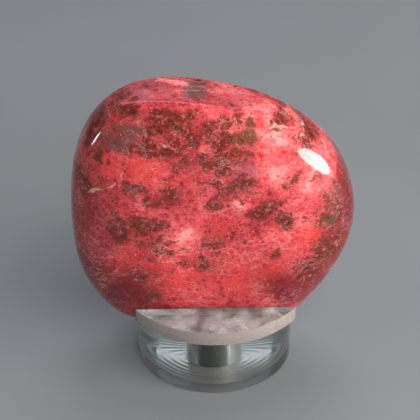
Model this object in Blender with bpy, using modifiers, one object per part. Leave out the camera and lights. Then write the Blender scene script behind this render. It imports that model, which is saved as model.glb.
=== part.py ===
"""Polished thulite stone standing in a clear acrylic stand.

Sizes below are in millimetres; the model is in metres, +Z up, front towards -Y.
The origin is on the table, at the middle of the stand's round base.
"""
import math

import bmesh
import bpy
from mathutils import Matrix, Vector

MM = 0.001
GAP = 0.3                      # air left between pieces that rest on each other

# Base: a turned disc of clear acrylic with a channel across its top
BASE_RADIUS = 20.0
BASE_HEIGHT = 18.3
BASE_EDGE = 0.5                # chamfer round the rims
CHANNEL_FLOOR = 15.8           # height of the channel's floor
BORE_RADIUS = 4.3              # hole drilled up the middle
BORE_EDGE = 0.4
DISH_RADIUS = 13.2             # shallow dish turned in the underside
DISH_DEPTH = 1.2
DISH_STEPS = 6
BASE_STEPS = 72

# Half-moon plates that hold the stone from the front and from behind
PLATE_RADIUS = 24.2
PLATE_THICKNESS = 3.65
PLATE_EDGE = 0.25
PLATE_STEPS = 144
SLOT_HALF_WIDTH = 14.05        # from the middle to each plate's straight edge

# Stone: a thick, blunt-edged pebble with a ground foot and a flat band on its top edge
STONE_CENTRE_X = -1.85
STONE_CENTRE_Z = 41.65
STONE_RADIUS = 35.2
# Swells of the outline: waves round it, height at the sides, height on the diagonal
STONE_SWELLS = ((2, -0.45, -0.85), (3, 1.2, 0.65), (4, -0.2, 0.65), (5, 0.25, -0.15))
STONE_HALF_THICKNESS = 14.3
STONE_BLUNTNESS = 3.0          # 2 is a lens, more is squarer in section
FOOT_BLUNTNESS = 0.3           # added towards the foot
FOOT_ROUNDING = 0.8
# Narrow band ground flat along the top edge; it leans to the back and runs out at its ends
BAND_DEPTH = 2.2               # ground off the middle of the band
BAND_LEAN = 0.085              # fall towards the back, per unit of thickness
BAND_MIDDLE = math.radians(95)
BAND_HALF_SPAN = math.radians(32)
BAND_FADE = 2.5                # how much less is ground off at its ends
BAND_ROUNDING = 0.4
STONE_ROUND_STEPS = 84
STONE_ACROSS_STEPS = 36

CUTTER_SIZE = 80.0


def clear_scene():
    for old in list(bpy.data.objects):
        bpy.data.objects.remove(old, do_unlink=True)


def new_collection(name):
    collection = bpy.data.collections.new(name)
    bpy.context.scene.collection.children.link(collection)
    return collection


def material(name, colour, roughness, transmission=0.0, ior=1.5):
    made = bpy.data.materials.new(name)
    made.use_nodes = True
    shader = made.node_tree.nodes["Principled BSDF"]
    shader.inputs["Base Color"].default_value = (*colour, 1.0)
    shader.inputs["Roughness"].default_value = roughness
    shader.inputs["Metallic"].default_value = 0.0
    shader.inputs["Transmission Weight"].default_value = transmission
    shader.inputs["IOR"].default_value = ior
    return made


def place(name, bm, collection, finish=None, smooth_angle=None):
    """Turn a bmesh into a named object in its collection."""
    mesh = bpy.data.meshes.new(name)
    bm.to_mesh(mesh)
    bm.free()
    piece = bpy.data.objects.new(name, mesh)
    collection.objects.link(piece)
    if finish:
        mesh.materials.append(finish)
    if smooth_angle is not None:
        mesh.shade_smooth()
        mesh.set_sharp_from_angle(angle=smooth_angle)
    return piece


def box_cutter(name, y_low, y_high, z_low, z_high, collection):
    """A hidden box, as long as the stand is wide, that cuts a slot along X."""
    bm = bmesh.new()
    bmesh.ops.create_cube(bm, size=1.0)
    size = Vector((CUTTER_SIZE, y_high - y_low, z_high - z_low)) * MM
    centre = Vector((0.0, (y_low + y_high) / 2, (z_low + z_high) / 2)) * MM
    bmesh.ops.transform(bm, matrix=Matrix.Translation(centre) @ Matrix.Diagonal((*size, 1.0)), verts=bm.verts)
    cutter = place(name, bm, collection)
    cutter.hide_render = True
    cutter.display_type = "WIRE"
    return cutter


def cut(piece, cutter):
    boolean = piece.modifiers.new("cut_by_" + cutter.name, "BOOLEAN")
    boolean.operation = "DIFFERENCE"
    boolean.solver = "EXACT"
    boolean.object = cutter


def base_profile():
    """Section of the base, down its outer side, under the foot and up the bore."""
    rim, height, edge = BASE_RADIUS, BASE_HEIGHT, BASE_EDGE
    points = [(rim - edge, height), (rim, height - edge), (rim, edge), (rim - edge, 0.0)]
    for step in range(DISH_STEPS + 1):
        share = step / DISH_STEPS
        radius = DISH_RADIUS + (BORE_RADIUS - DISH_RADIUS) * share
        depth = DISH_DEPTH * (1 - (radius / DISH_RADIUS) ** 2)
        points.append((radius, depth))
    points += [(BORE_RADIUS, CHANNEL_FLOOR - BORE_EDGE), (BORE_RADIUS + BORE_EDGE, CHANNEL_FLOOR)]
    points.append((BORE_RADIUS + BORE_EDGE, height))
    return points


def stand_base(parts, cutters, finish):
    """Base turned from the section, with the channel milled across its top."""
    bm = bmesh.new()
    corners = [bm.verts.new((radius * MM, 0.0, height * MM)) for radius, height in base_profile()]
    for corner, following in zip(corners, corners[1:] + corners[:1]):
        bm.edges.new((corner, following))
    base = place("stand_base", bm, parts, finish)
    turn = base.modifiers.new("turn", "SCREW")
    turn.axis = "Z"
    turn.steps = BASE_STEPS
    turn.render_steps = BASE_STEPS
    turn.use_merge_vertices = True
    turn.merge_threshold = 0.00001
    turn.use_smooth_shade = False
    channel = box_cutter(
        "channel_cutter", -SLOT_HALF_WIDTH, SLOT_HALF_WIDTH, CHANNEL_FLOOR, BASE_HEIGHT + 5, cutters
    )
    cut(base, channel)
    return base


def half_moon(name, side, parts, cutters, finish):
    """A disc cut along one chord; side is -1 for the front plate, 1 for the rear."""
    bm = bmesh.new()
    low = BASE_HEIGHT + GAP
    bmesh.ops.create_cone(
        bm,
        cap_ends=True,
        segments=PLATE_STEPS,
        radius1=PLATE_RADIUS * MM,
        radius2=PLATE_RADIUS * MM,
        depth=PLATE_THICKNESS * MM,
        matrix=Matrix.Translation((0.0, 0.0, (low + PLATE_THICKNESS / 2) * MM)),
    )
    plate = place(name, bm, parts, finish, math.radians(30))
    chord, far = side * SLOT_HALF_WIDTH, -side * CUTTER_SIZE / 2
    waste = box_cutter(name + "_cutter", min(chord, far), max(chord, far), low - 5, low + 10, cutters)
    cut(plate, waste)
    edge = plate.modifiers.new("edge", "BEVEL")
    edge.width = PLATE_EDGE * MM
    edge.segments = 1
    edge.limit_method = "ANGLE"
    edge.angle_limit = math.radians(50)
    return plate


def eased(depth, rounding):
    """How far to push a point back that lies this deep past a flat, eased at its edge."""
    return (depth + math.hypot(depth, rounding)) / 2


def stone_point(across, along, up):
    """Where a point of the unit sphere lies on the stone, in mm."""
    reach = math.hypot(across, up)
    turn = math.atan2(up, across)
    outline = STONE_RADIUS
    for waves, at_side, on_diagonal in STONE_SWELLS:
        outline += at_side * math.cos(waves * turn) + on_diagonal * math.sin(waves * turn)
    power = 2 / (STONE_BLUNTNESS + FOOT_BLUNTNESS * max(0.0, -math.sin(turn)) ** 2)
    y = STONE_HALF_THICKNESS * math.copysign(abs(along) ** power, along)
    out = outline * reach ** power
    fade = BAND_FADE * ((turn - BAND_MIDDLE) / BAND_HALF_SPAN) ** 2
    band = outline - BAND_DEPTH + fade - BAND_LEAN * y
    out -= eased(out - band, BAND_ROUNDING)
    x = STONE_CENTRE_X + out * math.cos(turn)
    z = STONE_CENTRE_Z + out * math.sin(turn)
    foot = CHANNEL_FLOOR + GAP
    return Vector((x, y, foot + eased(z - foot, FOOT_ROUNDING)))


def stone(parts, finish):
    """The pebble: a sphere with its poles at front and back, pushed to the stone's form."""
    bm = bmesh.new()
    bmesh.ops.create_uvsphere(
        bm, u_segments=STONE_ROUND_STEPS, v_segments=STONE_ACROSS_STEPS, radius=1.0,
        matrix=Matrix.Rotation(math.radians(90), 4, "X"),
    )
    for vertex in bm.verts:
        vertex.co = stone_point(*vertex.co) * MM
    bmesh.ops.recalc_face_normals(bm, faces=bm.faces)
    return place("stone", bm, parts, finish, math.radians(40))


def build():
    clear_scene()
    parts = new_collection("thulite_stone_on_stand")
    cutters = new_collection("cutters")
    thulite = material("polished_thulite", (0.42, 0.10, 0.11), 0.08, ior=1.7)
    acrylic = material("clear_acrylic", (0.97, 0.98, 0.98), 0.02, transmission=1.0, ior=1.49)
    stone(parts, thulite)
    stand_base(parts, cutters, acrylic)
    half_moon("front_half_moon", -1, parts, cutters, acrylic)
    half_moon("rear_half_moon", 1, parts, cutters, acrylic)


build()
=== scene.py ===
"""Polished thulite stone in its clear acrylic stand: finishes, light and view."""
import math

import bmesh
import bpy
import numpy as np
from mathutils import Matrix, Vector, noise


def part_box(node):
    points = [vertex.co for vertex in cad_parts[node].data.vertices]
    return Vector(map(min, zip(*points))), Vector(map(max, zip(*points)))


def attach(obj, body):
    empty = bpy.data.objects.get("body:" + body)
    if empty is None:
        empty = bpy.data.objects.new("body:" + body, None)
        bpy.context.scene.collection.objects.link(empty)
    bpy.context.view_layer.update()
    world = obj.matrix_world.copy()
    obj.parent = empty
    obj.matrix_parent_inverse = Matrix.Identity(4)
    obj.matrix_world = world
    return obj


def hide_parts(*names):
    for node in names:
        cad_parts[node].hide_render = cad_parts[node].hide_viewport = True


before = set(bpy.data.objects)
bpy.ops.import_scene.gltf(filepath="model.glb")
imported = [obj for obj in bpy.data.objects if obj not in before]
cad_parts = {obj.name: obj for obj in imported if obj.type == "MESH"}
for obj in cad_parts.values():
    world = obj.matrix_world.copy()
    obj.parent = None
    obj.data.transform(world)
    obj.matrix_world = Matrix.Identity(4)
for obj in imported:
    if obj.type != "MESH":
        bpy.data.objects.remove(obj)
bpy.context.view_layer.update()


# Base of the stand. A slice of clear cast acrylic bar, turned and polished on the rim,
# drilled up the middle and dished underneath, with a channel milled straight across its
# top. The plates are cemented on the two lands that the channel leaves.
MM = 0.001
BASE_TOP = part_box("stand_base")[1]
BASE_RADIUS = BASE_TOP.x / MM
BASE_HEIGHT = BASE_TOP.z / MM
BASE_EDGE = 0.5
CHANNEL_FLOOR = 15.8
SLOT_HALF_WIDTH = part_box("rear_half_moon")[0].y / MM
BORE_RADIUS = 4.3
BORE_EDGE = 0.4
DISH_RADIUS = 13.2
DISH_DEPTH = 1.2
TURNING_PITCH = 1.5            # the boring bar's feed, drawn coarse so that its lines show
TURNING_DEPTH = 0.07
DISH_STEPS = 64
ROUND_STEPS = 288
ACRYLIC_IOR = 1.49
ACRYLIC_TINT = "#E4EBE8"       # of the light that is left after a thick piece
ACRYLIC_ABSORPTION = 28.0


def linear(hex_colour):
    """An sRGB hex colour as linear red, green, blue and alpha."""
    parts = [int(hex_colour[start:start + 2], 16) / 255 for start in (1, 3, 5)]
    parts = [part / 12.92 if part <= 0.04045 else ((part + 0.055) / 1.055) ** 2.4 for part in parts]
    return parts + [1.0]


def add_node(material, kind, inputs=None, **settings):
    """Adds a node; an input is a value, an output to link, or a node for its first output."""
    tree = material.node_tree
    made = tree.nodes.new(kind)
    for name, value in settings.items():
        setattr(made, name, value)
    for socket, value in (inputs or {}).items():
        if isinstance(value, bpy.types.Node):
            value = value.outputs[0]
        if isinstance(value, bpy.types.NodeSocket):
            tree.links.new(value, made.inputs[socket])
        else:
            made.inputs[socket].default_value = value
    return made


def new_material(name):
    made = bpy.data.materials.new(name)
    made.use_nodes = True
    made.node_tree.nodes.clear()
    return made


def clear_acrylic(name, roughness, bump_strength, grain_mm, clearness=1.0, tint="#FAFCFC"):
    """Cast acrylic, water-clear: plain transmission, with a trace of absorption in the depth.

    Roughness and clearness say how the surface was made, and the bump adds wear of that grain.
    """
    made = new_material(name)
    place = add_node(made, "ShaderNodeTexCoord").outputs["Object"]
    grain = add_node(made, "ShaderNodeTexNoise", {
        "Vector": place, "Scale": 1 / (grain_mm * MM), "Detail": 5.0,
    })
    bump = add_node(made, "ShaderNodeBump", {
        "Height": grain, "Strength": bump_strength, "Distance": 0.02 * MM,
    })
    shader = add_node(made, "ShaderNodeBsdfPrincipled", {
        "Base Color": linear(tint), "Roughness": roughness, "IOR": ACRYLIC_IOR,
        "Transmission Weight": clearness, "Normal": bump,
    })
    depth = add_node(made, "ShaderNodeVolumeAbsorption", {
        "Color": linear(ACRYLIC_TINT), "Density": ACRYLIC_ABSORPTION,
    })
    add_node(made, "ShaderNodeOutputMaterial", {"Surface": shader, "Volume": depth})
    return made


def round_corner(centre, radius, start, end, steps=6):
    """Points of an arc, in degrees, for a turned section."""
    turns = [math.radians(start + (end - start) * step / steps) for step in range(steps + 1)]
    return [(centre[0] + radius * math.cos(turn), centre[1] + radius * math.sin(turn)) for turn in turns]


def base_section():
    """Down the outer side, in under the foot and the dish, and up the bore."""
    section = round_corner((BASE_RADIUS - BASE_EDGE, BASE_HEIGHT - BASE_EDGE), BASE_EDGE, 90, 0)
    section += round_corner((BASE_RADIUS - BASE_EDGE, BASE_EDGE), BASE_EDGE, 0, -90)
    for step in range(DISH_STEPS + 1):
        radius = DISH_RADIUS + (BORE_RADIUS - DISH_RADIUS) * step / DISH_STEPS
        feed = TURNING_DEPTH * abs(math.sin(math.pi * (DISH_RADIUS - radius) / TURNING_PITCH))
        section.append((radius, DISH_DEPTH * (1 - (radius / DISH_RADIUS) ** 2) + feed))
    section += [(BORE_RADIUS, CHANNEL_FLOOR - BORE_EDGE), (BORE_RADIUS + BORE_EDGE, CHANNEL_FLOOR)]
    section.append((BORE_RADIUS + BORE_EDGE, BASE_HEIGHT))
    return section


def finished_object(name, bm, modifiers=(), sharp=30.0):
    """An object from a bmesh, with its modifiers applied and smooth shading between edges."""
    mesh = bpy.data.meshes.new(name)
    bm.to_mesh(mesh)
    bm.free()
    piece = bpy.data.objects.new(name, mesh)
    bpy.context.scene.collection.objects.link(piece)
    for kind, settings in modifiers:
        modifier = piece.modifiers.new(kind.lower(), kind)
        for setting, value in settings.items():
            setattr(modifier, setting, value)
    if modifiers:
        solved = piece.evaluated_get(bpy.context.evaluated_depsgraph_get())
        piece.data = bpy.data.meshes.new_from_object(solved)
        piece.modifiers.clear()
        bpy.data.meshes.remove(mesh)
        piece.data.name = name
    piece.data.shade_smooth()
    piece.data.set_sharp_from_angle(angle=math.radians(sharp))
    return piece


def box_mesh(low, high):
    """A bmesh box between two corners, in mm."""
    bm = bmesh.new()
    size, centre = (Vector(high) - Vector(low)) * MM, (Vector(high) + Vector(low)) / 2 * MM
    stretch = Matrix.Diagonal((*size, 1.0))
    bmesh.ops.create_cube(bm, size=1.0, matrix=Matrix.Translation(centre) @ stretch)
    return bm


def turned_base():
    bm = bmesh.new()
    corners = [bm.verts.new((radius * MM, 0.0, height * MM)) for radius, height in base_section()]
    edges = [bm.edges.new((one, two)) for one, two in zip(corners, corners[1:] + corners[:1])]
    bmesh.ops.spin(
        bm, geom=corners + edges, cent=(0, 0, 0), axis=(0, 0, 1), angle=math.tau,
        steps=ROUND_STEPS, use_merge=True,
    )
    bmesh.ops.remove_doubles(bm, verts=bm.verts, dist=0.001 * MM)
    bmesh.ops.recalc_face_normals(bm, faces=bm.faces)
    past = 2 * BASE_RADIUS
    channel = finished_object("channel", box_mesh(
        (-past, -SLOT_HALF_WIDTH, CHANNEL_FLOOR), (past, SLOT_HALF_WIDTH, past),
    ))
    base = finished_object("acrylic_base", bm, [
        ("BOOLEAN", {"operation": "DIFFERENCE", "solver": "EXACT", "object": channel}),
    ])
    bpy.data.objects.remove(channel, do_unlink=True)
    return base


# The rim is polished nearly smooth, the bore and the dish are satin from the tool, and the
# foot is sanded flat
polished_acrylic = clear_acrylic("polished_cast_acrylic", 0.02, 0.06, 6.0)
bored_acrylic = clear_acrylic("bored_cast_acrylic", 0.33, 0.5, 0.5, 0.88)
sanded_acrylic = clear_acrylic("sanded_cast_acrylic", 0.5, 0.5, 0.35)
dished_acrylic = clear_acrylic("dished_cast_acrylic", 0.2, 0.3, 0.5, 0.68)
POLISHED, BORED, SANDED, DISHED = range(4)


def finish_base_faces(base):
    for finish in (polished_acrylic, bored_acrylic, sanded_acrylic, dished_acrylic):
        base.data.materials.append(finish)
    for face in base.data.polygons:
        radius = math.hypot(face.center.x, face.center.y) / MM
        if radius < BORE_RADIUS + BORE_EDGE:
            face.material_index = BORED
        elif face.normal.z < -0.5 and radius < DISH_RADIUS:
            face.material_index = DISHED
        elif face.normal.z < -0.9:
            face.material_index = SANDED


base = turned_base()
finish_base_faces(base)
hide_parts("stand_base")
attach(base, "root")


# Half-moon plates. Each is sawn from a disc of clear acrylic sheet, its flat faces left
# as cast, its curved rim only sanded, and it is cemented on a land of the base so that
# its straight edge holds the stone.
PLATE_RADIUS = -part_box("front_half_moon")[0].y / MM
PLATE_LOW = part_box("front_half_moon")[0].z / MM
PLATE_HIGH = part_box("front_half_moon")[1].z / MM
PLATE_EDGE = 0.22
PLATE_STEPS = 200


def half_moon(name, side):
    """Arc and chord, extruded to the sheet's thickness; side is -1 in front, 1 behind."""
    reach = math.acos(SLOT_HALF_WIDTH / PLATE_RADIUS)
    bm = bmesh.new()
    rim = []
    for step in range(PLATE_STEPS + 1):
        turn = reach * (2 * step / PLATE_STEPS - 1)
        x, y = PLATE_RADIUS * math.sin(turn), side * PLATE_RADIUS * math.cos(turn)
        rim.append(bm.verts.new((x * MM, y * MM, PLATE_LOW * MM)))
    sheet = bmesh.ops.extrude_face_region(bm, geom=[bm.faces.new(rim)])
    raised = [item for item in sheet["geom"] if isinstance(item, bmesh.types.BMVert)]
    bmesh.ops.translate(bm, verts=raised, vec=(0, 0, (PLATE_HIGH - PLATE_LOW) * MM))
    bmesh.ops.recalc_face_normals(bm, faces=bm.faces)
    return finished_object(name, bm, [
        ("BEVEL", {
            "width": PLATE_EDGE * MM, "segments": 3, "limit_method": "ANGLE",
            "angle_limit": math.radians(50),
        }),
    ])


def worn_sheet():
    """Cast acrylic sheet: glossy, with cloudy cement smears and fine scratches one way."""
    made = new_material("worn_acrylic_sheet")
    place = add_node(made, "ShaderNodeTexCoord").outputs["Object"]
    smear = add_node(made, "ShaderNodeTexNoise", {
        "Vector": place, "Scale": 1 / (7.0 * MM), "Detail": 6.0, "Roughness": 0.6, "Distortion": 1.2,
    })
    haze = add_node(made, "ShaderNodeMapRange", {
        "Value": smear, "From Min": 0.48, "From Max": 0.7, "To Min": 0.04, "To Max": 0.32,
    })
    cloud = add_node(made, "ShaderNodeMapRange", {
        "Value": smear, "From Min": 0.4, "From Max": 0.64, "To Min": 0.92, "To Max": 0.68,
    })
    along = add_node(made, "ShaderNodeMapping", {
        "Vector": place, "Rotation": (0, 0, math.radians(20)), "Scale": (0.08, 1, 1),
    })
    scratch = add_node(made, "ShaderNodeTexNoise", {
        "Vector": along, "Scale": 1 / (0.35 * MM), "Detail": 3.0,
    })
    bump = add_node(made, "ShaderNodeBump", {
        "Height": scratch, "Strength": 0.25, "Distance": 0.02 * MM,
    })
    shader = add_node(made, "ShaderNodeBsdfPrincipled", {
        "Base Color": linear("#F8FAF8"), "Roughness": haze, "IOR": ACRYLIC_IOR,
        "Transmission Weight": cloud, "Normal": bump,
    })
    depth = add_node(made, "ShaderNodeVolumeAbsorption", {
        "Color": linear(ACRYLIC_TINT), "Density": ACRYLIC_ABSORPTION,
    })
    add_node(made, "ShaderNodeOutputMaterial", {"Surface": shader, "Volume": depth})
    return made


# The sheet's two faces are as cast; its rim is sanded fine and a little yellowed
acrylic_sheet = worn_sheet()
sanded_rim = clear_acrylic("sanded_acrylic_rim", 0.16, 0.4, 0.6, 0.72, "#F4E2DC")
PLATES = (("front_plate", "front_half_moon", -1), ("rear_plate", "rear_half_moon", 1))
for name, node_name, side in PLATES:
    plate = half_moon(name, side)
    plate.data.materials.append(acrylic_sheet)
    plate.data.materials.append(sanded_rim)
    for face in plate.data.polygons:
        out = math.hypot(face.center.x, face.center.y) / MM
        face.material_index = int(abs(face.normal.z) < 0.9 and out > PLATE_RADIUS - 0.3)
    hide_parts(node_name)
    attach(plate, "root")


# The stone. One pebble of massive thulite, the pink manganese-bearing zoisite, sawn to a
# thick slab, ground round its edges and tumbled to a high polish. Its foot is ground flat
# to stand in the slot, and a flat is left on its top edge.
STONE_CENTRE = Vector((-1.85, 0.0, 41.65))
STONE_RADIUS = 35.2
# Swells of the outline: waves round it, height at the sides, height on the diagonal
STONE_SWELLS = ((2, -0.45, -0.85), (3, 1.2, 0.65), (4, -0.2, 0.65), (5, 0.25, -0.15))
STONE_HALF_THICKNESS = 14.3
STONE_BLUNTNESS = 3.0
FOOT_BLUNTNESS = 0.3
FOOT_HEIGHT = 16.1
FOOT_ROUNDING = 0.8
# Band ground along the top edge, leaning to the back and running out at its ends
BAND_DEPTH = 2.2
BAND_LEAN = 0.085
BAND_MIDDLE = math.radians(95)
BAND_HALF_SPAN = math.radians(32)
BAND_FADE = 2.5
BAND_ROUNDING = 0.25
STONE_ROUND_STEPS = 400
STONE_ACROSS_STEPS = 190


def eased(depth, rounding):
    """How much of a depth is cut, with the corner where it starts rounded off."""
    return (depth + math.hypot(depth, rounding)) / 2


def stone_point(across, along, up):
    """Where a point of the unit sphere lies on the stone, in mm."""
    turn = math.atan2(up, across)
    outline = STONE_RADIUS
    for waves, at_side, on_diagonal in STONE_SWELLS:
        outline += at_side * math.cos(waves * turn) + on_diagonal * math.sin(waves * turn)
    power = 2 / (STONE_BLUNTNESS + FOOT_BLUNTNESS * max(0.0, -math.sin(turn)) ** 2)
    y = STONE_HALF_THICKNESS * math.copysign(abs(along) ** power, along)
    out = outline * math.hypot(across, up) ** power
    fade = BAND_FADE * ((turn - BAND_MIDDLE) / BAND_HALF_SPAN) ** 2
    band = outline - BAND_DEPTH + fade - BAND_LEAN * y
    out -= eased(out - band, BAND_ROUNDING)
    point = STONE_CENTRE + Vector((out * math.cos(turn), y, out * math.sin(turn)))
    point.z = FOOT_HEIGHT + eased(point.z - FOOT_HEIGHT, FOOT_ROUNDING)
    return point


def polished_stone():
    bm = bmesh.new()
    bmesh.ops.create_uvsphere(
        bm, u_segments=STONE_ROUND_STEPS, v_segments=STONE_ACROSS_STEPS, radius=1.0,
        matrix=Matrix.Rotation(math.radians(90), 4, "X"),
    )
    for vertex in bm.verts:
        vertex.co = stone_point(*vertex.co) * MM
    bmesh.ops.recalc_face_normals(bm, faces=bm.faces)
    return finished_object("polished_stone", bm, sharp=60.0)


# Marks in the stone, with painted shade and sheen among them: x and z of the middle, half width,
# half height, lean in degrees and strength, all in mm on the front; a seventh number is the middle's y
# where it isn't there
FRONT = -13.0
MARK_DEPTH = 24.0                # how far into the stone a mark reaches
EDGE_MARK_DEPTH = 7.0            # the same for a mark on the edge
BIOTITE = (                      # clotted brown-black mica and hornblende
    (-9.5, 73.4, 4.6, 1.2, 0, 1.0, -12), (-10.0, 71.0, 4.6, 2.2, 0, 0.95, -10),
    (-15.7, 66.5, 2.7, 2.0, 0, 0.95), (-10.0, 66.0, 3.2, 2.2, 10, 0.85),
    (-4.4, 68.4, 1.6, 3.0, -15, 0.9), (1.3, 66.8, 2.3, 3.3, 0, 0.85),
    (3.2, 72.4, 2.2, 1.3, 0, 0.9, -12), (-1.5, 70.8, 2.6, 1.6, 0, 0.8, -10),
    (5.0, 64.2, 2.4, 2.0, 0, 0.7), (-6.5, 62.5, 3.2, 1.8, 0, 0.6), (-2.0, 63.3, 2.9, 2.2, 0, 0.75),
    (1.6, 62.4, 1.6, 2.4, 0, 0.85), (4.1, 57.2, 3.4, 1.8, 0, 0.85), (-1.5, 57.5, 2.5, 1.3, 0, 0.6),
    (-13.5, 42.0, 3.0, 1.5, 0, 0.7), (0.9, 52.4, 3.6, 1.4, 18, 0.8), (11.4, 50.8, 2.7, 2.2, 20, 0.9),
    (16.5, 46.9, 1.9, 2.2, 0, 0.8), (18.4, 56.9, 2.0, 1.5, 0, 0.45), (27.7, 46.9, 3.4, 4.2, 0, 0.85),
    (27.5, 38.0, 3.4, 3.8, 30, 1.0), (23.5, 31.6, 2.7, 4.4, -20, 1.0), (13.5, 37.1, 1.1, 1.2, 0, 0.95),
    (-1.4, 40.5, 2.9, 2.1, -30, 0.65), (-2.9, 34.9, 2.7, 2.1, 0, 0.65), (-6.9, 36.6, 1.9, 1.5, 0, 0.6),
    (-22.7, 44.9, 2.4, 2.8, 30, 1.0), (-17.8, 46.7, 2.4, 1.7, 0, 0.95), (-14.3, 46.2, 1.8, 1.3, 0, 0.8),
    (-18.8, 56.1, 2.7, 1.4, 0, 0.75), (-14.4, 53.4, 2.0, 1.6, 20, 0.75),
    (-10.7, 55.0, 1.9, 2.0, 0, 0.7), (-19.5, 32.1, 2.7, 2.2, 0, 0.6),
    (15.8, 69.8, 3.6, 1.2, 12, 0.95, -4), (22.1, 65.1, 3.4, 1.7, 30, 0.95, -6),
    (-31.3, 55.7, 1.8, 3.4, 0, 0.8), (-28.7, 68.0, 2.2, 2.8, -30, 0.8, -5),
    (-22.6, 73.0, 3.4, 0.9, 0, 0.85, -4), (-18.4, 73.4, 2.4, 0.8, 0, 0.75, -7),
    (-14.1, 38.3, 3.2, 2.0, 0, 0.55), (24.0, 57.0, 1.5, 1.5, 0, 0.5), (29.0, 55.0, 1.3, 2.2, 0, 0.6),
)
HORNBLENDE = (                   # olive-green grains within the dark clots
    (6.9, 67.9, 3.0, 2.2, 0, 1.0), (7.7, 71.0, 1.9, 1.3, 0, 1.0, -8), (-15.1, 25.3, 1.8, 1.5, 0, 1.0),
    (-26.6, 63.5, 1.6, 1.6, 0, 0.9), (27.0, 46.0, 2.0, 2.6, 0, 0.8),
    (-9.0, 70.6, 2.4, 1.2, 0, 0.7, -10),
)
ZOISITE_PALE = (                 # nearly white zoisite and feldspar
    (13.6, 66.8, 4.5, 3.2, -20, 0.75), (13.5, 61.5, 5.0, 4.4, 0, 0.6), (23.5, 56.5, 4.8, 4.6, 0, 0.7),
    (-6.8, 44.1, 3.4, 3.2, 0, 0.7), (6.0, 52.1, 3.4, 1.4, 0, 0.9), (7.9, 59.6, 2.4, 2.0, 0, 0.6),
    (-8.8, 68.9, 2.2, 0.7, 10, 0.8), (-2.1, 66.1, 1.4, 1.6, 0, 0.6), (0.0, 69.5, 2.0, 1.2, 0, 0.6),
    # The marks at x -16.9 and 6.0 lie on the top band: pale zoisite with a painted sheen of the light
    # above and behind
    (-16.9, 74.7, 6.0, 2.0, 0, 0.6, 0), (6.0, 72.7, 5.0, 2.0, 0, 0.25, 3), (-3.5, 49.5, 5.0, 3.0, 0, 0.2),
    (20.0, 62.0, 4.0, 3.0, 0, 0.6), (10.0, 68.5, 3.0, 2.0, -20, 0.6), (13.0, 44.0, 4.0, 3.0, 0, 0.3),
)
THULITE_RED = (                  # clear coral-red stretches
    (-17.1, 60.1, 4.6, 3.2, 0, 0.8), (-24.3, 62.0, 3.4, 3.4, 0, 0.7), (22.5, 41.0, 3.4, 3.2, 0, 0.8),
    (4.5, 37.5, 6.0, 3.0, 0, 0.6), (14.0, 33.0, 5.0, 4.0, 0, 0.5), (-10.0, 58.6, 3.5, 2.0, 0, 0.5),
    (-8.0, 30.0, 8.0, 3.0, 0, 0.3), (1.0, 45.5, 4.5, 3.0, 0, 0.45), (-13.0, 33.0, 13.0, 7.0, 0, 0.7),
    (8.0, 30.0, 12.0, 5.0, 0, 0.6),
)
# Painted shade: these wine-red marks darken the left and right rims and the foot, where the stone turns
# away from the lamps, over some deeper-coloured thulite
WINE_AND_RIM_SHADE = (                 # deeper wine-red towards the left side and the foot
    (-31.0, 40.0, 7.0, 16.0, 0, 0.6), (-22.0, 27.0, 9.0, 7.0, 30, 0.95),
    (25.0, 28.0, 8.0, 5.0, -40, 0.8), (33.0, 45.0, 4.5, 18.0, 0, 1.5), (-30.0, 62.0, 4.0, 8.0, 0, 0.3),
    (17.0, 26.0, 9.0, 5.0, -30, 0.9), (-8.0, 21.0, 20.0, 2.5, 0, 0.5), (30.0, 34.0, 6.0, 7.0, -30, 0.9),
    (5.0, 38.0, 8.0, 3.0, 0, 0.3), (-30.0, 30.0, 6.0, 8.0, 20, 0.9),
)
LILAC = (                        # mauve, greyish stretches
    (6.5, 60.5, 4.0, 3.0, 0, 0.9), (8.0, 62.5, 3.0, 2.0, 0, 0.5), (0.0, 54.5, 4.0, 2.0, 0, 0.5),
    # The marks at x -4.4 and -16.5 lie on the top band: greyish mauve stone with a painted sheen of the
    # light above and behind
    (-4.4, 74.3, 4.4, 2.0, 0, 0.6, 2), (3.6, 57.0, 3.2, 2.4, 0, 0.8),
    (20.5, 66.0, 1.6, 1.0, 0, 0.8, -3), (-16.5, 74.6, 6.5, 1.4, 0, 0.8, 0),
    (7.0, 60.0, 2.4, 3.4, 0, 0.7),
)
GREY_QUARTZ = (                  # smoky, half clear quartz
    (-18.5, 70.2, 5.2, 1.6, 8, 1.0), (-25.0, 67.5, 2.6, 1.8, 30, 0.7),
    # The mark at x -4.4 lies on the top band: smoky quartz with a painted sheen of the light above and
    # behind
    (-4.4, 74.3, 3.0, 1.6, 0, 1.0, 2), (21.4, 66.9, 1.8, 1.0, 20, 0.9, -3),
    (-26.0, 70.5, 2.2, 1.4, -30, 0.8, -3), (-21.5, 67.0, 4.6, 2.2, 5, 1.0),
)
VEINS = (                        # calcite threads
    (-28.0, 54.5, 2.6, 0.4, 12, 1.0), (-24.2, 56.6, 2.6, 0.4, 38, 1.0),
    (-21.0, 60.6, 3.2, 0.4, 52, 1.0), (13.4, 69.3, 2.4, 0.4, -12, 0.9, -7),
    (17.0, 68.3, 2.8, 0.4, -12, 0.9, -6), (20.6, 66.9, 2.2, 0.4, 30, 0.9, -4),
    (16.2, 51.5, 2.4, 0.4, 60, 0.7), (-12.0, 67.6, 4.0, 0.4, -10, 0.8), (-6.0, 66.6, 2.8, 0.4, 25, 0.8),
    (-9.0, 69.4, 3.0, 0.4, 20, 0.7), (3.0, 64.6, 2.6, 0.4, -40, 0.6), (-2.0, 59.0, 2.4, 0.4, 30, 0.5),
)
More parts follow.
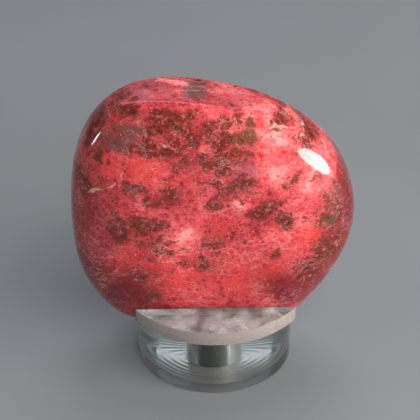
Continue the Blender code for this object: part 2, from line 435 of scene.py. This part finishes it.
# Name of each layer of marks, and between which reaches it fades
MARK_GROUPS = (
    ("biotite", BIOTITE, 0.0, 2.3),
    ("hornblende", HORNBLENDE, 0.1, 1.7),
    ("pale_zoisite", ZOISITE_PALE, 0.1, 1.4),
    ("red_thulite", THULITE_RED, 0.0, 1.8),
    ("wine_and_rim_shade", WINE_AND_RIM_SHADE, 0.1, 1.9),
    ("lilac", LILAC, 0.0, 1.7),
    ("grey_quartz", GREY_QUARTZ, 0.0, 1.7),
    ("calcite", VEINS, 0.0, 2.0),
)


# How the edges of the marks run; another number gives another stone of the same kind
CROOKED_SEED = 11


def crooked(point, grain_mm, reach_mm, shift):
    """A point pushed about by a noise, so that edges and threads run crooked."""
    return point + noise.noise_vector(point / grain_mm + Vector((shift, shift, shift))) * reach_mm


def mark_stone(stone):
    """Stores at each vertex how strongly each kind of mark shows there: soft-edged ellipsoids."""
    noise.seed_set(CROOKED_SEED)
    points = []
    for vertex in stone.data.vertices:
        swayed = crooked(vertex.co / MM, 5.0, 1.5, 3.0)
        points.append(tuple(crooked(swayed, 1.6, 0.8, 9.0)))
    points = np.array(points)
    for name, marks, inner, outer in MARK_GROUPS:
        strongest = np.zeros(len(points))
        for x, z, half_width, half_height, lean, strength, *middle_y in marks:
            away = points - (x, middle_y[0] if middle_y else FRONT, z)
            turn = math.radians(lean)
            along = away[:, 0] * math.cos(turn) + away[:, 2] * math.sin(turn)
            across = away[:, 2] * math.cos(turn) - away[:, 0] * math.sin(turn)
            depth = away[:, 1] / (EDGE_MARK_DEPTH if middle_y else MARK_DEPTH)
            reach = np.sqrt((along / half_width) ** 2 + (across / half_height) ** 2 + depth ** 2)
            fade = np.clip((outer - reach) / (outer - inner), 0, 1)
            strongest = np.maximum(strongest, strength * fade * fade * (3 - 2 * fade))
        layer = stone.data.attributes.new(name, "FLOAT", "POINT")
        layer.data.foreach_set("value", strongest)


# Noise patterns of the stone: grain in mm, detail, roughness, stretch along x, y and z, shift
SPECKLES = {
    "broad": (11.0, 5.0, 0.6, (1, 1, 1), 5.0),
    "clots": (2.4, 7.0, 0.68, (1, 1, 1), 21.0),
    "felt": (0.9, 5.0, 0.7, (0.6, 1, 1.25), 33.0),
    "grain": (0.35, 2.0, 0.6, (1, 1, 1), 41.0),
    "sway": (3.2, 5.0, 0.62, (0.7, 1, 1.3), 63.0),
    "bend": (1.5, 2.0, 0.6, (1, 1, 1), 9.0),
    "lace": (1.3, 4.0, 0.7, (1, 1, 1), 71.0),
    "back": (8.0, 4.0, 0.6, (1, 1, 1), 57.0),
}
# The pink ground, from wine through coral to nearly white
GROUND = (
    (0.0, "#4E0D16"), (0.28, "#8E1C26"), (0.46, "#C23A42"),
    (0.6, "#DC5C5F"), (0.78, "#F0948F"), (1.0, "#FAD8CF"),
)


def thulite():
    """Massive thulite: a felt of pink zoisite grains, dark mica clots, quartz and calcite.

    The polish leaves it glossy, and the softer dark grains a little duller.
    """
    made = new_material("polished_thulite")
    place = add_node(made, "ShaderNodeTexCoord").outputs["Object"]
    in_mm = add_node(made, "ShaderNodeVectorMath", {0: place, "Scale": 1 / MM}, operation="SCALE")
    speckle = {}
    for name, (grain_mm, detail, roughness, stretch, shift) in SPECKLES.items():
        spread = add_node(made, "ShaderNodeMapping", {
            "Vector": in_mm, "Location": (shift, shift, shift),
            "Scale": tuple(part / grain_mm for part in stretch),
        })
        speckle[name] = add_node(made, "ShaderNodeTexNoise", {
            "Vector": spread, "Scale": 1.0, "Detail": detail, "Roughness": roughness,
        })
    clots, felt, grain = speckle["clots"], speckle["felt"], speckle["grain"]
    mark = {
        name: add_node(made, "ShaderNodeAttribute", attribute_name=name).outputs["Fac"]
        for name, *_ in MARK_GROUPS
    }

    # On the back and round the sides there are no placed marks: a broad noise takes over
    depth = add_node(made, "ShaderNodeSeparateXYZ", {"Vector": in_mm}).outputs["Y"]
    behind = add_node(made, "ShaderNodeMapRange", {"Value": depth, "From Min": -2.0, "From Max": 6.0})
    back_dark = add_node(made, "ShaderNodeMapRange", {
        "Value": speckle["back"], "From Min": 0.52, "From Max": 0.62, "To Max": behind,
    })
    back_pale = add_node(made, "ShaderNodeMapRange", {
        "Value": speckle["back"], "From Min": 0.42, "From Max": 0.34, "To Max": behind,
    })
    dark_marks = add_node(made, "ShaderNodeMath", {
        0: mark["biotite"], 1: back_dark,
    }, operation="MAXIMUM")
    pale_marks = add_node(made, "ShaderNodeMath", {
        0: mark["pale_zoisite"], 1: back_pale,
    }, operation="MAXIMUM")

    # How pale the pink ground is; the wine marks darken it, partly as painted shade at the rims and the
    # foot
    value = -0.77
    for field, weight in (
        (speckle["broad"], 0.8), (clots, 0.9), (felt, 0.52), (grain, 0.22), (pale_marks, 0.34),
        (mark["wine_and_rim_shade"], -0.15),
    ):
        value = add_node(made, "ShaderNodeMath", {
            0: field, 1: weight, 2: value,
        }, operation="MULTIPLY_ADD")
    ground = add_node(made, "ShaderNodeValToRGB", {"Fac": value})
    shades = ground.color_ramp.elements
    for stop, shade_colour in GROUND:
        shade = shades[0] if stop == 0.0 else shades[-1] if stop == 1.0 else shades.new(stop)
        shade.color = linear(shade_colour)

    def ragged(mask, cut, soft, bite=1.0):
        """A mask broken up by the clots, felt and grain, so that its edge ends in grains."""
        broken = add_node(made, "ShaderNodeMath", {0: mask, 1: -1.4 * bite}, operation="ADD")
        for field, weight in ((clots, 1.5), (felt, 0.9), (grain, 0.4)):
            broken = add_node(made, "ShaderNodeMath", {
                0: field, 1: weight * bite, 2: broken,
            }, operation="MULTIPLY_ADD")
        return add_node(made, "ShaderNodeMapRange", {
            "Value": broken, "From Min": cut - soft, "From Max": cut + soft,
        }, interpolation_type="SMOOTHSTEP")

    # Brown-black mica, and olive hornblende in it, each grained light and dark
    mica = add_node(made, "ShaderNodeValToRGB", {"Fac": felt})
    olive = add_node(made, "ShaderNodeValToRGB", {"Fac": grain})
    for ramp, low, low_colour, high, high_colour in (
        (mica, 0.36, "#2A0C08", 0.66, "#802F22"), (olive, 0.35, "#281A0C", 0.7, "#6C4C2A"),
    ):
        first, last = ramp.color_ramp.elements
        first.position, last.position = low, high
        first.color, last.color = linear(low_colour), linear(high_colour)
    scattered = add_node(made, "ShaderNodeMath", {0: dark_marks, 1: 0.02}, operation="MAXIMUM")
    dark = ragged(scattered, 0.4, 0.13, 2.0)

    # Pale wisps where the felt of grains turns over, and pale grains that break up the clots
    turned = add_node(made, "ShaderNodeMath", {0: speckle["sway"], 1: 0.5}, operation="SUBTRACT")
    turned = add_node(made, "ShaderNodeMath", {0: turned}, operation="ABSOLUTE")
    patchy = add_node(made, "ShaderNodeMapRange", {
        "Value": speckle["broad"], "From Min": 0.42, "From Max": 0.62,
    })
    wisps = add_node(made, "ShaderNodeMapRange", {
        "Value": turned, "From Min": 0.0, "From Max": 0.028, "To Min": patchy, "To Max": 0.0,
    })
    lace = add_node(made, "ShaderNodeMapRange", {
        "Value": speckle["lace"], "From Min": 0.54, "From Max": 0.66, "To Max": dark,
    })

    # Seams between the pink grains, a millimetre or so apart
    bent = add_node(made, "ShaderNodeVectorMath", {
        0: speckle["bend"].outputs["Color"], 1: (2.0, 2.0, 2.0), 2: in_mm,
    }, operation="MULTIPLY_ADD")
    cells = add_node(made, "ShaderNodeTexVoronoi", {
        "Vector": bent, "Scale": 1 / 1.5,
    }, feature="DISTANCE_TO_EDGE")
    seams = add_node(made, "ShaderNodeMapRange", {
        "Value": cells, "From Min": 0.0, "From Max": 0.16, "To Min": clots, "To Max": 0.0,
    })

    # Single bright grains of calcite
    grains = add_node(made, "ShaderNodeTexVoronoi", {"Vector": in_mm, "Scale": 1 / 0.8})
    chance = add_node(made, "ShaderNodeSeparateColor", {"Color": grains.outputs["Color"]})
    rare = add_node(made, "ShaderNodeMath", {0: chance, 1: 0.8}, operation="GREATER_THAN")
    specks = add_node(made, "ShaderNodeMapRange", {
        "Value": grains, "From Min": 0.1, "From Max": 0.24, "To Min": rare, "To Max": 0.0,
    })

    # Over the ground: colour, mask and strength of each layer, from the lowest to the highest
    colour = ground
    for tint, mask, strength in (
        (linear("#EFA9A2"), seams, 0.26),
        (linear("#D23C38"), ragged(mark["red_thulite"], 0.35, 0.3), 0.7),
        # Wine red: painted shade on the rims and the foot, over some deeper-coloured thulite
        (linear("#5C121C"), ragged(mark["wine_and_rim_shade"], 0.5, 0.5, 0.5), 0.85),
        (linear("#803E50"), ragged(mark["lilac"], 0.42, 0.3), 0.6),
        (linear("#62403A"), ragged(mark["grey_quartz"], 0.35, 0.3, 0.6), 0.85),
        (linear("#9A2C2A"), ragged(dark_marks, 0.34, 0.3), 0.4),
        (mica, dark, 0.9),
        (linear("#F2BEB6"), wisps, 0.3),
        (linear("#CC6E68"), lace, 0.55),
        (olive, ragged(mark["hornblende"], 0.5, 0.2), 0.85),
        (linear("#E4BCA8"), ragged(mark["calcite"], 0.68, 0.2, 0.6), 0.5),
        (linear("#F2D8BC"), specks, 0.3),
    ):
        amount = add_node(made, "ShaderNodeMath", {0: mask, 1: strength}, operation="MULTIPLY")
        mix = add_node(made, "ShaderNodeMix", {0: amount, 6: colour, 7: tint}, data_type="RGBA")
        colour = mix.outputs[2]

    gloss = 0.23
    for field, weight in ((felt, 0.1), (dark, 0.1)):
        gloss = add_node(made, "ShaderNodeMath", {
            0: field, 1: weight, 2: gloss,
        }, operation="MULTIPLY_ADD")
    worn = add_node(made, "ShaderNodeMath", {0: dark, 1: -0.5, 2: grain}, operation="MULTIPLY_ADD")
    pits = add_node(made, "ShaderNodeBump", {"Height": worn, "Strength": 0.12, "Distance": 0.03 * MM})
    shader = add_node(made, "ShaderNodeBsdfPrincipled", {
        "Base Color": colour, "Roughness": gloss, "IOR": 1.5, "Specular IOR Level": 0.15,
        "Normal": pits, "Coat Weight": 0.6, "Coat Roughness": 0.08, "Coat IOR": 1.6,
        "Subsurface Weight": 0.12, "Subsurface Radius": (1.0, 0.35, 0.3), "Subsurface Scale": 1.5 * MM,
    })
    add_node(made, "ShaderNodeOutputMaterial", {"Surface": shader})
    return made


stone = polished_stone()
mark_stone(stone)
stone.data.materials.append(thulite())
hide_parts("stone")
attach(stone, "root")


# Studio: a plain grey floor that rises behind into a backdrop, and soft lamps to the right,
# to the left, behind, above and in front
FLOOR_HALF_WIDTH = 2.0
FLOOR_DROP = 0.00005           # keeps the floor off the base's underside
FLOOR_FRONT = -2.0
SWEEP_START = 0.9
SWEEP_RADIUS = 0.6
SWEEP_STEPS = 16
BACKDROP_HEIGHT = 1.6


def studio_floor():
    bm = bmesh.new()
    profile = [(FLOOR_FRONT, -FLOOR_DROP), (SWEEP_START, -FLOOR_DROP)]
    for step in range(1, SWEEP_STEPS + 1):
        turn = math.radians(90) * step / SWEEP_STEPS
        profile.append((SWEEP_START + SWEEP_RADIUS * math.sin(turn), SWEEP_RADIUS * (1 - math.cos(turn))))
    profile.append((SWEEP_START + SWEEP_RADIUS, BACKDROP_HEIGHT))
    sides = [[bm.verts.new((x, y, z)) for y, z in profile] for x in (-FLOOR_HALF_WIDTH, FLOOR_HALF_WIDTH)]
    for step in range(len(profile) - 1):
        bm.faces.new((sides[0][step], sides[1][step], sides[1][step + 1], sides[0][step + 1]))
    return finished_object("studio_floor", bm, sharp=60.0)


def painted_board():
    """Matt painted board, grey, with a trace of mottle."""
    made = new_material("matt_grey_board")
    place = add_node(made, "ShaderNodeTexCoord").outputs["Object"]
    mottle = add_node(made, "ShaderNodeTexNoise", {"Vector": place, "Scale": 14.0, "Detail": 4.0})
    tone = add_node(made, "ShaderNodeValToRGB", {"Fac": mottle})
    tone.color_ramp.elements[0].color = linear("#707375")
    tone.color_ramp.elements[1].color = linear("#7A7D7F")
    shader = add_node(made, "ShaderNodeBsdfPrincipled", {"Base Color": tone, "Roughness": 0.6})
    add_node(made, "ShaderNodeOutputMaterial", {"Surface": shader})
    return made


floor = studio_floor()
floor.data.materials.append(painted_board())

STONE_MIDDLE = Vector((0.0, 0.0, 0.045))
# name, bearing from the front towards the right, height angle, distance, width, height, watts,
# colour, and whether the polished surfaces mirror it
LAMPS = (
    ("key_lamp", 69.0, 16.0, 0.80, 0.52, 0.32, 8.6, "#FFFAF2", True),
    ("side_lamp", -88.0, 13.0, 0.80, 0.06, 0.18, 0.8, "#F2F6FF", True),
    ("back_lamp", 178.0, 40.0, 1.10, 1.40, 0.60, 2.2, "#EEF4FF", True),
    ("top_lamp", 165.0, 68.0, 1.00, 0.50, 0.50, 4.5, "#F2F6FF", False),
    ("front_lamp", 22.0, 38.0, 0.90, 0.70, 0.70, 9.0, "#FFFFFF", False),
)
for name, bearing, height_angle, distance, width, height, watts, tint, mirrored in LAMPS:
    lamp = bpy.data.lights.new(name, "AREA")
    lamp.shape = "ELLIPSE"
    lamp.size = width
    lamp.size_y = height
    lamp.energy = watts
    lamp.color = linear(tint)[:3]
    holder = bpy.data.objects.new(name, lamp)
    bpy.context.scene.collection.objects.link(holder)
    holder.visible_glossy = holder.visible_transmission = mirrored
    turn, rise = math.radians(bearing), math.radians(height_angle)
    toward = Vector((math.sin(turn) * math.cos(rise), -math.cos(turn) * math.cos(rise), math.sin(rise)))
    holder.location = STONE_MIDDLE + toward * distance
    holder.rotation_euler = toward.to_track_quat("Z", "Y").to_euler()

world = bpy.data.worlds.new("studio_light")
bpy.context.scene.world = world
world.use_nodes = True
world.node_tree.nodes["Background"].inputs["Color"].default_value = linear("#A4A6A8")
world.node_tree.nodes["Background"].inputs["Strength"].default_value = 0.17
bpy.context.scene.view_settings.view_transform = "Standard"


# Camera: a long lens looking down on the stone, a little from its left
CAMERA_PLACE = Vector((-0.00812, -0.26973, 0.21465))
CAMERA_DOWN = 32.637           # degrees below level
CAMERA_TURN = 1.5              # degrees to the right of straight back
FOCAL_PIXELS = 1300.0
FRAME_PIXELS = 420.0

lens = bpy.data.cameras.new("camera")
lens.sensor_width = 36.0
lens.lens = lens.sensor_width * FOCAL_PIXELS / FRAME_PIXELS
lens.clip_start = 0.01
camera = bpy.data.objects.new("camera", lens)
bpy.context.scene.collection.objects.link(camera)
camera.location = CAMERA_PLACE
camera.rotation_euler = (math.radians(90 - CAMERA_DOWN), 0.0, math.radians(-CAMERA_TURN))
bpy.context.scene.camera = camera
